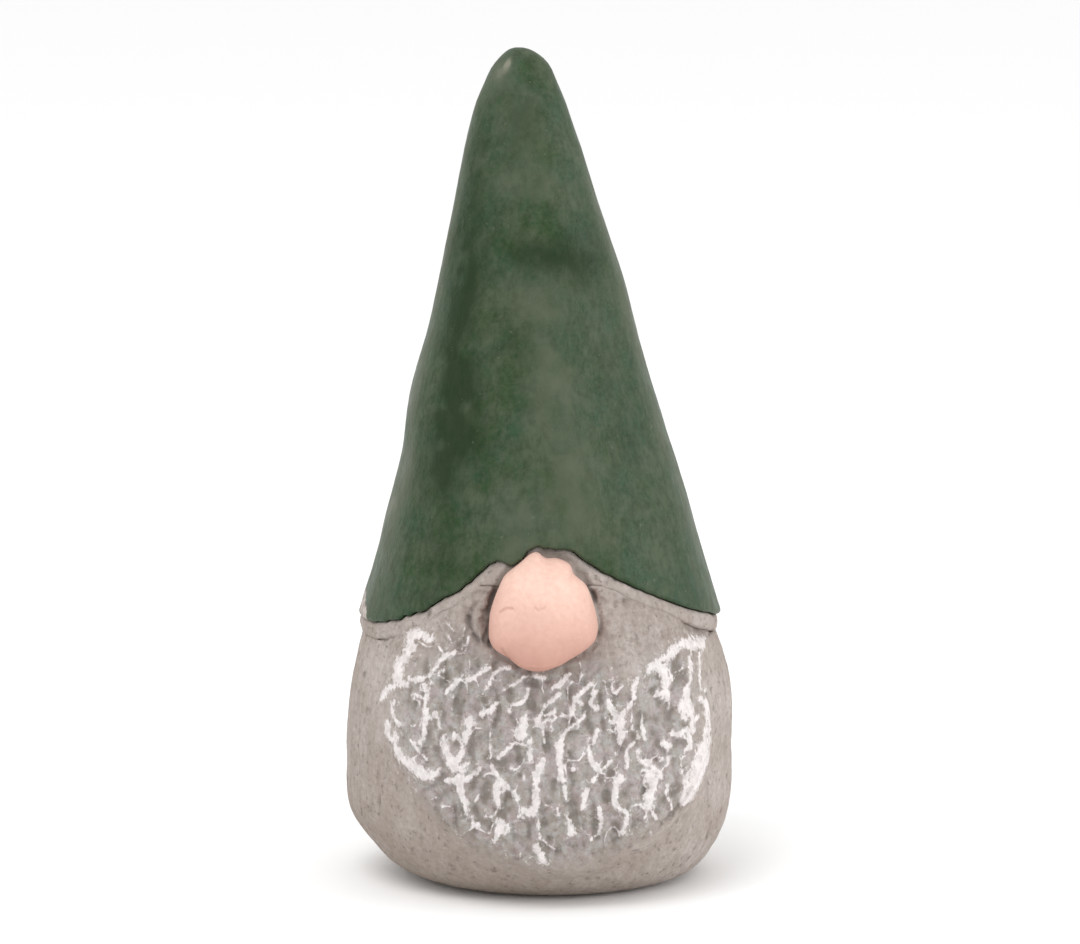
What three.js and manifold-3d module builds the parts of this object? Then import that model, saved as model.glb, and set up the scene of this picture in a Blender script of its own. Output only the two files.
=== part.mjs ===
// A tomte, the Nordic farm gnome, hand-built in clay: a pinched pot with a conical hat over its
// collar, a coil that seals the two together, a beard laid on as a tooled pad, and a pressed nose.
// Millimetres, +Z up. The face looks towards -Y and the viewer's right is +X.

import * as THREE from "three";
import { mergeVertices } from "three/addons/utils/BufferGeometryUtils.js";
import Module from "manifold-3d";

const wasm = await Module();
wasm.setup();

// Driving dimensions

const height = 128.8;
const girthRadius = 30.1; // the body at its widest
const girthHeight = 15.5;
const depthRatio = 0.94; // every level section is squeezed this much from front to back
const footRadius = 17.5;
const shoulderHeight = 38.6; // where the collar starts
const shoulderRadius = 27.2;
const hatRimHeight = 40.9;
const hatRimRadius = 28.4;
const hatTipRadius = 5.8;
const hatWall = 3.3;
const potWall = 4.2;
const potFloor = 5;
const collarTop = 56;
const collarWall = 3.2;
const ventRadius = 4;
const gap = 0.3; // the slip between two pieces

// The side of the body as two curves, from the foot to the girth and on to the shoulder. Each
// holds the [radius, height] of the two points that pull it and of its end.
const bodyCurves = [
  [[24, 0.4], [girthRadius, 6], [girthRadius, girthHeight]],
  [[girthRadius, 27], [28.8, 34], [shoulderRadius, shoulderHeight]],
];

// The front of the hat's edge as [across, up]: torn a little on the left of the nose
const rimPoints = [
  [-hatRimRadius, hatRimHeight],
  [-17.4, 45],
  [-12.5, 48],
  [-7.8, 52.2],
  [-3.9, 52.4],
  [-1.8, 54.6],
  [5, 54.4],
  [10, 50.9],
  [15, 48.4],
  [22, 44.8],
  [hatRimRadius, hatRimHeight],
];

// Joining and cutting

function toSolid(geometry) {
  const bare = geometry.clone();
  bare.deleteAttribute("normal");
  bare.deleteAttribute("uv");
  const merged = mergeVertices(bare, 1e-3);
  return new wasm.Manifold(
    new wasm.Mesh({
      numProp: 3,
      vertProperties: merged.attributes.position.array,
      triVerts: new Uint32Array(merged.index.array),
    }),
  );
}

function toMesh(solid, name, colour, roughness) {
  const { vertProperties, triVerts } = solid.getMesh();
  const geometry = new THREE.BufferGeometry();
  geometry.setAttribute("position", new THREE.BufferAttribute(vertProperties, 3));
  geometry.setIndex(new THREE.BufferAttribute(triVerts, 1));
  geometry.computeVertexNormals();
  const material = new THREE.MeshStandardMaterial({ color: colour, roughness, metalness: 0 });
  const mesh = new THREE.Mesh(geometry, material);
  mesh.name = name;
  return mesh;
}

// Moves every vertex of a geometry with a function that changes a THREE.Vector3.
function reshape(geometry, change) {
  const position = geometry.attributes.position;
  const vertex = new THREE.Vector3();
  for (let i = 0; i < position.count; i++) {
    change(vertex.fromBufferAttribute(position, i));
    position.setXYZ(i, vertex.x, vertex.y, vertex.z);
  }
  return geometry;
}

// Turns an outline of [radius, height] points about the Z axis.
function turned(outline, segments) {
  return new THREE.LatheGeometry(outline, segments).rotateX(Math.PI / 2);
}

// An outline in the XZ plane, as deep as the figurine, in front of a plane y = back.
function frontPrism(points, back) {
  const outline = new THREE.Shape(points.map(([x, z]) => new THREE.Vector2(x, z)));
  const prism = new THREE.ExtrudeGeometry(outline, { depth: 2 * girthRadius, bevelEnabled: false });
  return toSolid(prism.rotateX(Math.PI / 2).translate(0, back, 0));
}

// Level sections of the body: squeezed front to back, with the foot a little to the right.
const footShift = 1.8;
const footShiftHeight = 14;

function squeezeBody(vertex) {
  const low = Math.max(0, 1 - vertex.z / footShiftHeight);
  vertex.x += footShift * low ** 2;
  vertex.y *= depthRatio;
}

// Hat: a slab rolled into a cone, hollow, leaning a little to the left at the tip. The slab's end
// laps over its start at the back.

const hatTipCentre = height - hatTipRadius;
const hatTipDepth = 7; // solid clay between the ball at the tip and the top of the hollow
const cavityTipRadius = 2.6;
const cavityTipCentre = hatTipCentre - hatTipDepth;
const cavityRimRadius = hatRimRadius - hatWall;
const leanStart = 60;
const tipLean = -2.9;
const seamTurn = Math.PI * 0.88;
const seamLap = Math.PI / 4;
const seamStep = 0.8;

// The angle from the axis of a cone whose side runs from the rim to the ball at its tip.
function coneAngle(rimRadius, tipRadius, tipCentre) {
  const rise = tipCentre - hatRimHeight;
  return Math.atan2(rimRadius, rise) - Math.asin(tipRadius / Math.hypot(rimRadius, rise));
}

function coneOutline(rimRadius, tipRadius, tipCentre, bottom, rows) {
  const angle = coneAngle(rimRadius, tipRadius, tipCentre);
  const slope = Math.tan(angle);
  const outline = [new THREE.Vector2(0, bottom)];
  const top = tipCentre + tipRadius * Math.sin(angle);
  for (let row = 0; row < rows; row++) {
    const z = THREE.MathUtils.lerp(bottom, top, row / rows);
    outline.push(new THREE.Vector2(rimRadius - slope * (z - hatRimHeight), z));
  }
  const tip = new THREE.Path().absarc(0, tipCentre, tipRadius, angle, Math.PI / 2);
  tip.getPoints(3).forEach((point) => outline.push(point));
  outline.at(-1).x = 0;
  return outline;
}

function hatRadiusAt(z) {
  const angle = coneAngle(hatRimRadius, hatTipRadius, hatTipCentre);
  return hatRimRadius - Math.tan(angle) * (z - hatRimHeight);
}

function cavityRadiusAt(z) {
  const angle = coneAngle(cavityRimRadius, cavityTipRadius, cavityTipCentre);
  return cavityRimRadius - Math.tan(angle) * (z - hatRimHeight);
}

function leanHat(vertex) {
  vertex.x += tipLean * Math.max(0, (vertex.z - leanStart) / (height - leanStart));
  vertex.y *= depthRatio;
}

// The lap rises at the seam line and sinks back into the round of the hat.
function lapSeam(vertex) {
  const turn = Math.atan2(vertex.x, -vertex.y);
  const past = (turn - seamTurn + 2 * Math.PI) % (2 * Math.PI);
  const tipFade = Math.min(1, Math.max(0, (height - vertex.z) / height));
  const lift = past < seamLap ? seamStep * (1 - past / seamLap) * tipFade : 0;
  const radius = Math.hypot(vertex.x, vertex.y);
  if (radius > hatTipRadius) {
    vertex.x *= 1 + lift / radius;
    vertex.y *= 1 + lift / radius;
  }
}

// The height of the hat's front edge at a place across the face.
function rimHeightAt(x) {
  const next = rimPoints.findIndex(([across]) => across >= x);
  if (next < 1) return hatRimHeight;
  const [fromX, fromZ] = rimPoints[next - 1];
  const [toX, toZ] = rimPoints[next];
  return THREE.MathUtils.lerp(fromZ, toZ, (x - fromX) / (toX - fromX));
}

function hatCone() {
  const outside = coneOutline(hatRimRadius, hatTipRadius, hatTipCentre, hatRimHeight, 14);
  const outer = reshape(reshape(turned(outside, 60), lapSeam), leanHat);
  const below = hatRimHeight - 1;
  const inside = coneOutline(cavityRimRadius, cavityTipRadius, cavityTipCentre, below, 8);
  const cavity = reshape(turned(inside, 40), leanHat);
  const arch = [...rimPoints, [rimPoints.at(-1)[0], 0], [rimPoints[0][0], 0]];
  return toSolid(outer).subtract(toSolid(cavity)).subtract(frontPrism(arch, 0));
}

// Pot: a pinched bowl with a flattened foot, a vent through its floor so that the firing air can
// leave, and a collar that stands up inside the hat.

function bodyOutline() {
  const side = new THREE.Path();
  side.moveTo(footRadius, 0);
  bodyCurves.forEach((curve) => side.bezierCurveTo(...curve.flat()));
  return side.getPoints(10);
}

function potOutline(grow) {
  const outline = bodyOutline().map(({ x, y }) => new THREE.Vector2(x + grow, y));
  outline.at(-1).y += grow;
  const collarFoot = shoulderHeight + grow;
  outline.push(new THREE.Vector2(cavityRadiusAt(collarFoot) - gap + grow, collarFoot));
  outline.push(new THREE.Vector2(cavityRadiusAt(collarTop) - gap + grow, collarTop));
  return [new THREE.Vector2(0, 0), ...outline, new THREE.Vector2(0, collarTop)];
}

function potBlank(grow) {
  return toSolid(reshape(turned(potOutline(grow), 64), squeezeBody));
}

function potBody() {
  const hollow = new THREE.Path();
  const hollowRadius = girthRadius - potWall;
  const collarRadius = cavityRadiusAt(collarTop) - gap - collarWall;
  hollow.moveTo(0, potFloor);
  hollow.lineTo(footRadius - potWall, potFloor);
  hollow.bezierCurveTo(22, potFloor, hollowRadius, 9, hollowRadius, girthHeight);
  hollow.bezierCurveTo(hollowRadius, 29, collarRadius + 2, 34, collarRadius, collarTop + 1);
  hollow.lineTo(0, collarTop + 1);
  const cavity = toSolid(reshape(turned(hollow.getPoints(8), 48), squeezeBody));
  const drill = new THREE.CylinderGeometry(ventRadius, ventRadius, 4 * potFloor, 32);
  return potBlank(0).subtract(cavity).subtract(toSolid(drill.rotateX(Math.PI / 2)));
}

// Luting coil: a thin roll of bare clay pressed into the joint all the way round, between the
// pot's shoulder and the hat's edge. It climbs with the edge over the nose.

const coilDrop = 2 * gap; // below the torn edge
const coilHalfHeight = (hatRimHeight - shoulderHeight - coilDrop - gap) / 2;
const coilHalfWidth = 1;
const coilRingRadius = hatRimRadius - 0.5 - coilHalfWidth;

function coilRing(grow) {
  const section = new THREE.Path();
  const halfWidth = coilHalfWidth + grow;
  const halfHeight = coilHalfHeight + grow;
  section.absellipse(coilRingRadius, 0, halfWidth, halfHeight, 0, 2 * Math.PI);
  const ring = turned(section.getPoints(5), 96);
  return toSolid(
    reshape(ring, (vertex) => {
      const turn = Math.atan2(vertex.x, -vertex.y);
      const edge = vertex.y < 0 ? rimHeightAt(hatRimRadius * Math.sin(turn)) : hatRimHeight;
      const inward = hatRimRadius - hatRadiusAt(edge);
      vertex.x -= inward * Math.sin(turn);
      vertex.y = (vertex.y + inward * Math.cos(turn)) * depthRatio;
      vertex.z += edge - coilDrop - coilHalfHeight;
    }),
  );
}

// Nose: a ball of clay pressed on under the arch, narrow above, broad below, ending in a blunt point.

const noseAcross = 0.85;
const noseHeight = 45.3;
const noseCentre = -26.5;
const noseHalfWidth = 8.25;
const noseHalfTall = 8.3;
const noseHalfDeep = 7.2;
const noseSquareness = 2.5; // 2 is a plain ball
const noseChin = -0.55; // below this share of its half height it tapers to the point
const noseChinTaper = 1.2;
const noseUpTaper = 0.3; // how much narrower it is above than below
const noseTopTaper = 0.1;
const noseFullness = 0.98;
const noseUpDepth = 0.12; // how much flatter it is above than below

function noseBlank(grow) {
  const ball = new THREE.SphereGeometry(1, 28, 20).rotateX(Math.PI / 2);
  return reshape(ball, (vertex) => {
    const powers = vertex.toArray().map((side) => Math.abs(side) ** noseSquareness);
    vertex.divideScalar((powers[0] + powers[1] + powers[2]) ** (1 / noseSquareness));
    const up = vertex.z;
    const chin = 1 - noseChinTaper * Math.max(0, noseChin - up);
    const breadth = noseFullness - noseUpTaper * up - noseTopTaper * up ** 2;
    vertex.x *= (noseHalfWidth + grow) * breadth * chin;
    vertex.y *= (noseHalfDeep + grow) * (1 - noseUpDepth * up);
    vertex.z *= noseHalfTall + grow;
    vertex.add(new THREE.Vector3(noseAcross, noseCentre, noseHeight));
  });
}

// Beard: a pad of clay spread over the front, thick in the middle, combed with a tool into
// wavy upright ridges that fan out from the nose.

const beardThickness = 2.3;
const padSetBack = 3.6; // of the face under the arch, from the hat's surface
const padTop = 49.5; // behind the nose
const ridgePitch = 4.2;
const ridgeDepth = 0.45;
const ridgeWander = 0.9; // how far a ridge swings to either side
const ridgeWaveUp = 3.1; // heights and widths over which the swing turns by one radian
const ridgeWaveAcross = 5;
const ridgeSpread = 0.25; // how much the ridges fan out over a height of one girthHeight
const ridgeSpreadTop = 29.5;
const beardSideThinning = 0.5; // the share of its thickness lost towards the sides
const beardCorners = [
  [-24.6, 37.3],
  [-25.4, 28],
  [-24, 21],
  [-20, 14.5],
  [-14, 8.6],
  [-7, 5],
  [1, 3.8],
  [9, 4.8],
  [18, 9],
  [24.4, 15],
  [27, 23],
  [27.2, 31],
  [26.4, 37.3],
];

// Ridges run up and down and spread sideways towards the bottom of the pad.
function ridgeAt(x, z) {
  const spread = x / (1 + ridgeSpread * Math.max(0, (ridgeSpreadTop - z) / girthHeight));
  const wander = ridgeWander * Math.sin(z / ridgeWaveUp + x / ridgeWaveAcross);
  return ridgeDepth * Math.cos((2 * Math.PI * (spread + wander)) / ridgePitch);
}

function beardBlank() {
  const rows = 34;
  const side = new THREE.SplineCurve([
    ...bodyOutline(),
    new THREE.Vector2(hatRadiusAt(hatRimHeight) - padSetBack, hatRimHeight + 2),
    new THREE.Vector2(hatRadiusAt(collarTop) - padSetBack, collarTop),
  ]);
  const outline = [new THREE.Vector2(0, 0), ...side.getPoints(rows), new THREE.Vector2(0, collarTop)];
  return toSolid(
    reshape(turned(outline, 120), (vertex) => {
      const radius = Math.hypot(vertex.x, vertex.y);
      const thinning = beardSideThinning * (vertex.x / girthRadius) ** 4;
      const swell = beardThickness * (1 - thinning) + ridgeAt(vertex.x, vertex.z);
      if (radius > 1 && vertex.y < 0) {
        vertex.x *= 1 + swell / radius;
        vertex.y *= 1 + swell / radius;
      }
      squeezeBody(vertex);
    }),
  );
}

function beardPad() {
  const corners = beardCorners.map(([x, z]) => new THREE.Vector2(x, z));
  const lower = new THREE.SplineCurve(corners).getPoints(36).map(({ x, y }) => [x, y]);
  const under = coilDrop + 2 * coilHalfHeight + gap;
  const upper = rimPoints
    .filter(([x]) => x > corners[0].x && x < corners.at(-1).x)
    .map(([x, z]) => [x, Math.min(z - under, padTop)])
    .reverse();
  return beardBlank()
    .intersect(frontPrism([...lower, ...upper], -2))
    .subtract(potBlank(gap))
    .subtract(coilRing(gap))
    .subtract(toSolid(noseBlank(gap)));
}

const figurine = new THREE.Group();
const nose = toSolid(noseBlank(0)).subtract(potBlank(gap)).subtract(coilRing(gap));
figurine.add(
  toMesh(potBody(), "pot_body", 0xb0a69f, 0.9),
  toMesh(hatCone(), "hat_cone", 0x364a33, 0.5),
  toMesh(coilRing(0), "luting_coil", 0xaea49c, 0.9),
  toMesh(beardPad(), "beard_pad", 0xb8aea9, 0.92),
  toMesh(nose, "nose", 0xf0c8b2, 0.8),
);

// The origin is under the middle of the figurine's box, on the surface that it stands on.
const middle = new THREE.Box3().setFromObject(figurine).getCenter(new THREE.Vector3());
figurine.position.set(-middle.x, -middle.y, 0);

export default figurine;
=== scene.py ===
"""A tomte, the Nordic farm gnome, hand-built in clay and partly painted: a pinched pot, a rolled
cone hat over its collar, a luting coil between the two, a combed beard pad and a pressed nose."""

import itertools
import math

import bmesh
import bpy
import numpy as np
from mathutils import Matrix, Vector


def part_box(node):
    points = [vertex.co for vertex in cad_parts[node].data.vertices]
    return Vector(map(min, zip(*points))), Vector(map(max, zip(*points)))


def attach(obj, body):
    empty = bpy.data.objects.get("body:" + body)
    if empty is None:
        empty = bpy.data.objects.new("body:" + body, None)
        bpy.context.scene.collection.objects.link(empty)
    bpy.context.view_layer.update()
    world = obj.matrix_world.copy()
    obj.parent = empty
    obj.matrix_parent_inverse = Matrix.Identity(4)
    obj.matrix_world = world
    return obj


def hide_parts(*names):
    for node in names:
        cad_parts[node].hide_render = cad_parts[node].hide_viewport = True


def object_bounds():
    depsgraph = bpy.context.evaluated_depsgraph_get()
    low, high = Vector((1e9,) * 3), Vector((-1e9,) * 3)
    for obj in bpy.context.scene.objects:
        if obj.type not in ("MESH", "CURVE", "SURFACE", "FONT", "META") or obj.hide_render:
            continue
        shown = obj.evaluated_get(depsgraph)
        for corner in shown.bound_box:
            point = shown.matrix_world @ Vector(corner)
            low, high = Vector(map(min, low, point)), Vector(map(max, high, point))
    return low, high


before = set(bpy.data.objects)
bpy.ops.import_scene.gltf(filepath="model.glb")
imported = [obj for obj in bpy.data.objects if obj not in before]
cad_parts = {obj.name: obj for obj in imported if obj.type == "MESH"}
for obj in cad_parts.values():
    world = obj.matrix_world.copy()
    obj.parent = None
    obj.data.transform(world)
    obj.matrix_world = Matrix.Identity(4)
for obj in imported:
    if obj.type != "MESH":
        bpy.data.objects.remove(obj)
cad_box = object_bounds()

# The studio: a pale table under an even white sky, a large soft box high in front on the left
# and a smaller, lower one on the right. A long lens looks a little down at the figurine.

mm = 0.001


def aimed(item, place, target):
    """Puts a lamp or a camera at a place, looking at a target."""
    thing = bpy.data.objects.new(item.name, item)
    bpy.context.collection.objects.link(thing)
    thing.location = place
    thing.rotation_euler = (target - Vector(place)).to_track_quat("-Z", "Y").to_euler()
    return thing


def soft_box(name, place, width, watts):
    lamp = bpy.data.lights.new(name, "AREA")
    lamp.shape = "DISK"
    lamp.size = width
    lamp.energy = watts
    return aimed(lamp, place, figurine_middle)


figurine_middle = (cad_box[0] + cad_box[1]) / 2
soft_box("high_box", place=(-0.30, -0.45, 0.95), width=0.6, watts=3.5)
soft_box("side_box", place=(0.80, -0.15, 0.16), width=0.5, watts=2.0)

sky = bpy.data.worlds.new("pale_sky")
sky.use_nodes = True
sky_light = sky.node_tree.nodes["Background"]
sky_light.inputs["Color"].default_value = (1, 1, 1, 1)
sky_light.inputs["Strength"].default_value = 1.0
bpy.context.scene.world = sky
bpy.context.scene.view_settings.view_transform = "Standard"

eye_distance = 0.9
eye_elevation = math.radians(9)
eye_target = Vector((0.15, 0, 63.46)) * mm
lens = bpy.data.cameras.new("long_lens")
lens.lens = 194.5
eye_direction = Vector((0, -math.cos(eye_elevation), math.sin(eye_elevation)))
bpy.context.scene.camera = aimed(lens, eye_target + eye_distance * eye_direction, eye_target)

table_radius = 6
table_colour = (0.96, 0.96, 0.96, 1)
bpy.ops.mesh.primitive_circle_add(vertices=96, radius=table_radius, fill_type="TRIFAN")
table = bpy.context.object
table.name = "table_top"
table_paint = bpy.data.materials.new("table_paint")
table_paint.use_nodes = True
table_shader = table_paint.node_tree.nodes["Principled BSDF"]
table_shader.inputs["Base Color"].default_value = table_colour
table_shader.inputs["Roughness"].default_value = 0.9
table_shader.inputs["Specular IOR Level"].default_value = 0.1
table.data.materials.append(table_paint)

# The pot: a ball of grey clay pinched into a bowl, its foot pressed flat on the board, a vent
# pushed through the floor and a collar drawn up for the hat. Left bare, wiped with a wet sponge.

pot_low, pot_high = (np.array(corner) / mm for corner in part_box("pot_body"))
girth_radius = (pot_high[0] - pot_low[0]) / 2
depth_ratio = (pot_high[1] - pot_low[1]) / (pot_high[0] - pot_low[0])
axis_y = (pot_high[1] + pot_low[1]) / 2
collar_top = pot_high[2]
girth_height = 15.5
foot_radius = 17.5
foot_shift = 1.8  # the foot stands a little to the right
foot_shift_height = 14
shoulder_radius = 27.2
shoulder_height = 38.6
vent_radius = 4
pot_wall = 4.2
pot_floor = 5
collar_foot_radius = 25.2
collar_top_radius = 19.8
collar_wall = 3.2
pot_columns = 440
pot_set_in = 0.15  # the unevenness is worked into the clay, so that it stays inside the CAD solid

# Each press of a thumb or tool: turn from the face in degrees, height, how far the surface is
# pushed out, half width in degrees and half height.
pot_presses = [
    (90, 30, 0.75, 45, 8),
    (90, 14, 0.15, 40, 4),
    (-90, 26, 0.14, 50, 14),
    (80, 5, -0.35, 40, 3),
    (-90, 5.5, -0.6, 45, 3),
    (-90, 12.5, 0.1, 35, 4),
    (-60, 26, 0.25, 20, 8),
    (150, 22, -0.5, 24, 7),
    (-140, 17, -0.45, 20, 8),
    (180, 30, 0.35, 25, 5),
    (-100, 34, -0.2, 14, 4),
    (105, 21, -0.2, 12, 6),
]


def cubic(start, lead, follow, end, steps):
    """Points along a cubic curve without its last, so that stretches can follow one another."""
    t = np.linspace(0, 1, steps, endpoint=False)[:, None]
    weights = np.hstack([(1 - t) ** 3, 3 * t * (1 - t) ** 2, 3 * t**2 * (1 - t), t**3])
    return weights @ np.array([start, lead, follow, end], float)


def straight(start, end, steps):
    return np.linspace(start, end, steps, endpoint=False)


def smooth_step(value, low, high):
    """0 below low, 1 above high, and a smooth rise between them."""
    share = np.clip((value - low) / (high - low), 0, 1)
    return share * share * (3 - 2 * share)


def clay_noise(points, size, seed):
    """Smooth unevenness from -1 to 1 in lumps of about the given size, at each row of points."""
    spot = points / size + 7.31 * seed
    corner = np.floor(spot).astype(np.int64)
    share = spot - corner
    share = share * share * (3 - 2 * share)
    total = np.zeros(len(points))
    for step in itertools.product((0, 1), repeat=3):
        weight = np.prod(np.where(step, share, 1 - share), axis=1)
        x, y, z = (corner + step).T
        mixed = (x * 73856093) ^ (y * 19349663) ^ (z * 83492791) ^ (seed * 2654435)
        mixed = ((mixed >> 7) ^ mixed) * 668265263 & 0xFFFFFFF
        total += weight * (((mixed >> 9) ^ mixed) % 8192 / 4096 - 1)
    return total


def pressed(turn, height, presses):
    """How far a list of presses moves the surface at each turn and height."""
    moved = np.zeros(np.shape(turn))
    for degrees, press_height, push, half_degrees, half_height in presses:
        away = (turn - math.radians(degrees) + math.pi) % (2 * math.pi) - math.pi
        across = away / math.radians(half_degrees)
        moved += push * np.exp(-(across**2) - ((height - press_height) / half_height) ** 2)
    return moved


def around(radius, turn, height):
    """Points on the squeezed round of the figurine, as rows of x, y, z in millimetres."""
    x = radius * np.sin(turn)
    y = axis_y - depth_ratio * radius * np.cos(turn)
    return np.stack([x, y, height], axis=-1).reshape(-1, 3)


def on_foot(points):
    """Moves the lowest part of the body a little to the right."""
    low = np.clip(1 - points[:, 2] / foot_shift_height, 0, None)
    points[:, 0] += foot_shift * low**2
    return points


def grid_faces(rows, columns, rows_close):
    """Quads of a grid that closes on itself across its columns and, if asked, across its rows."""
    row_count = rows if rows_close else rows - 1
    row, column = np.meshgrid(np.arange(row_count), np.arange(columns), indexing="ij")
    next_row, next_column = (row + 1) % rows, (column + 1) % columns
    corners = [(row, column), (row, next_column), (next_row, next_column), (next_row, column)]
    return np.stack([r * columns + c for r, c in corners], axis=-1).reshape(-1, 4)


def add_piece(name, points, faces, node, finish, marks):
    """A closed smooth-shaded piece in place of a CAD node. Each mark gives its first points a
    value, and the rest get the mark's lowest."""
    mesh = bpy.data.meshes.new(name)
    mesh.from_pydata(points * mm, [], faces.tolist())
    for mark, values in marks.items():
        rest = np.full(len(points) - values.size, values.min())
        values = np.concatenate([values.ravel(), rest]).astype(np.float32)
        mesh.attributes.new(mark, "FLOAT", "POINT").data.foreach_set("value", values)
    solid = bmesh.new()
    solid.from_mesh(mesh)
    bmesh.ops.remove_doubles(solid, verts=solid.verts, dist=1e-7)
    bmesh.ops.recalc_face_normals(solid, faces=solid.faces)
    solid.to_mesh(mesh)
    solid.free()
    mesh.shade_smooth()
    mesh.materials.append(finish.material)
    piece = bpy.data.objects.new(name, mesh)
    bpy.context.collection.objects.link(piece)
    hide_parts(node)
    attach(piece, "root")


class Finish:
    """A material in the making. Each method adds shader nodes and gives back their output."""

    def __init__(self, name, roughness, shine):
        self.material = bpy.data.materials.new(name)
        self.material.use_nodes = True
        self.tree = self.material.node_tree
        self.shader = self.tree.nodes["Principled BSDF"]
        self.shader.inputs["Roughness"].default_value = roughness
        self.shader.inputs["Specular IOR Level"].default_value = shine
        self.place = self.add("TexCoord").outputs["Object"]

    def add(self, kind, inputs=None, **settings):
        node = self.tree.nodes.new("ShaderNode" + kind)
        for key, value in settings.items():
            setattr(node, key, value)
        for key, value in (inputs or {}).items():
            if isinstance(value, bpy.types.NodeSocket):
                self.tree.links.new(value, node.inputs[key])
            else:
                node.inputs[key].default_value = value
        return node

    def noise(self, size, detail=3, stretch=(1, 1, 1), shift=0, rough=0.55):
        """Cloudy noise with lumps of about size millimetres; a small stretch lengthens them."""
        inputs = {"Vector": self.place, "Scale": stretch, "Location": (shift, 2 * shift, -shift)}
        mapped = self.add("Mapping", inputs).outputs["Vector"]
        inputs = {"Vector": mapped, "Scale": 1 / (size * mm), "Detail": detail, "Roughness": rough}
        return self.add("TexNoise", inputs).outputs["Fac"]

    def patches(self, size, low, high, detail=3, **noise):
        """Cloudy noise sharpened to 0 below one level and 1 above another."""
        return self.share(self.noise(size, detail, **noise), low, high)

    def mark(self, name):
        return self.add("Attribute", attribute_name=name).outputs["Fac"]

    def share(self, value, low, high):
        """0 at low, 1 at high, clamped."""
        inputs = {"Value": value, "From Min": low, "From Max": high}
        return self.add("MapRange", inputs).outputs["Result"]

    def sum(self, first, second, amount=1.0):
        """first plus amount times second."""
        inputs = {0: second, 1: amount, 2: first}
        return self.add("Math", inputs, operation="MULTIPLY_ADD").outputs[0]

    def times(self, first, second):
        return self.add("Math", {0: first, 1: second}, operation="MULTIPLY").outputs[0]

    def mix(self, amount, first, second):
        """A colour between two, each given as a colour or as an output."""
        mixer = self.add("Mix", {0: amount, 6: first, 7: second}, data_type="RGBA")
        return mixer.outputs[2]

    def over(self, below, colour, where, amount=1.0):
        """Lays a colour over another, as strongly as a mask and an amount say."""
        return self.mix(self.times(where, amount), below, colour)

    def colour(self, value):
        self.tree.links.new(value, self.shader.inputs["Base Color"])

    def rough(self, value):
        self.tree.links.new(value, self.shader.inputs["Roughness"])

    def bump(self, height, depth):
        """Adds unevenness of the given depth in millimetres on top of earlier bumps."""
        inputs = {"Height": height, "Distance": depth * mm, "Strength": 1.0}
        node = self.add("Bump", inputs)
        earlier = self.shader.inputs["Normal"].links
        if earlier:
            self.tree.links.new(earlier[0].from_socket, node.inputs["Normal"])
        self.tree.links.new(node.outputs["Normal"], self.shader.inputs["Normal"])


def linear(red, green, blue):
    """A shader colour from 0 to 255 screen values."""
    shares = [value / 255 for value in (red, green, blue)]
    return (*[s / 12.92 if s < 0.04045 else ((s + 0.055) / 1.055) ** 2.4 for s in shares], 1)


clay_light = linear(190, 181, 176)
clay_mid = linear(172, 161, 154)
clay_brown = linear(150, 136, 122)
clay_dark = linear(120, 109, 100)
clay_pit_and_shade = linear(84, 74, 67)
brown_height = 24
brown_right_end = 30


def bare_clay(name):
    """Dry grogged clay: cloudy grey, browner low on the left, with fine grain, sponge wipes and
    soft pits."""
    clay = Finish(name, roughness=0.93, shine=0.15)
    cloud = clay.patches(8, 0.36, 0.66, 4)
    wiped = clay.patches(1.5, 0.38, 0.7, 4, stretch=(1, 1, 0.2), shift=3)
    grain = clay.patches(0.7, 0.35, 0.72, 5, shift=5, rough=0.65)
    blotches = clay.patches(2.4, 0.46, 0.72, 4, shift=11, rough=0.6)
    pits = clay.patches(0.9, 0.60, 0.74, shift=9, rough=0.5)
    place = clay.add("SeparateXYZ", {0: clay.place})
    low = clay.share(place.outputs["Z"], brown_height * mm, 0)
    low = clay.times(low, clay.share(place.outputs["X"], brown_right_end * mm, 0))
    base = clay.mix(cloud, clay_mid, clay_light)
    base = clay.over(base, clay_brown, low, 0.55)
    base = clay.over(base, clay_dark, wiped, 0.27)
    base = clay.over(base, clay_brown, blotches, clay.sum(0.22, low, 0.2))
    base = clay.over(base, clay_dark, grain, 0.42)
    base = clay.over(base, clay_pit_and_shade, pits, 0.45)
    # Darkened where a piece's mark says: in pits and cracks, and as painted shade in grooves and
    # crevices
    clay.base = clay.over(base, clay_pit_and_shade, clay.mark("pits_and_shade"), 0.5)
    clay.colour(clay.base)
    clay.bump(grain, 0.06)
    clay.bump(clay.sum(clay.noise(1.4, 3, shift=3), pits, -0.5), 0.2)
    return clay


pot_foot = (foot_radius, 0)
pot_girth = (girth_radius, girth_height)
pot_shoulder = (shoulder_radius, shoulder_height)
lower_curve = (pot_foot, (24.8, 0.4), (girth_radius, 5.4), pot_girth)
upper_curve = (pot_girth, (girth_radius, 27), (28.8, 34), pot_shoulder)
collar_foot = (collar_foot_radius, shoulder_height)
collar_rim = (collar_top_radius, collar_top)
collar_inside = (collar_top_radius - collar_wall, collar_top)
hollow_radius = girth_radius - pot_wall
hollow_girth = (hollow_radius, girth_height)
floor_corner = (foot_radius - pot_wall, pot_floor)

# From the vent out under the foot, up the outside, over the collar and down through the hollow
outside_stretches = [
    straight((vent_radius, 0), pot_foot, 14),
    cubic(*lower_curve, 48),
    cubic(*upper_curve, 62),
]
pot_outline = np.vstack([
    *outside_stretches,
    straight(pot_shoulder, collar_foot, 4),
    straight(collar_foot, collar_rim, 14),
    straight(collar_rim, collar_inside, 4),
    cubic(collar_inside, (collar_inside[0] + 2, 34), (hollow_radius, 29), hollow_girth, 22),
    cubic(hollow_girth, (hollow_radius, 9), (22, pot_floor), floor_corner, 10),
    straight(floor_corner, (vent_radius, pot_floor), 4),
    straight((vent_radius, pot_floor), (vent_radius, 0), 4),
])


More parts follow.
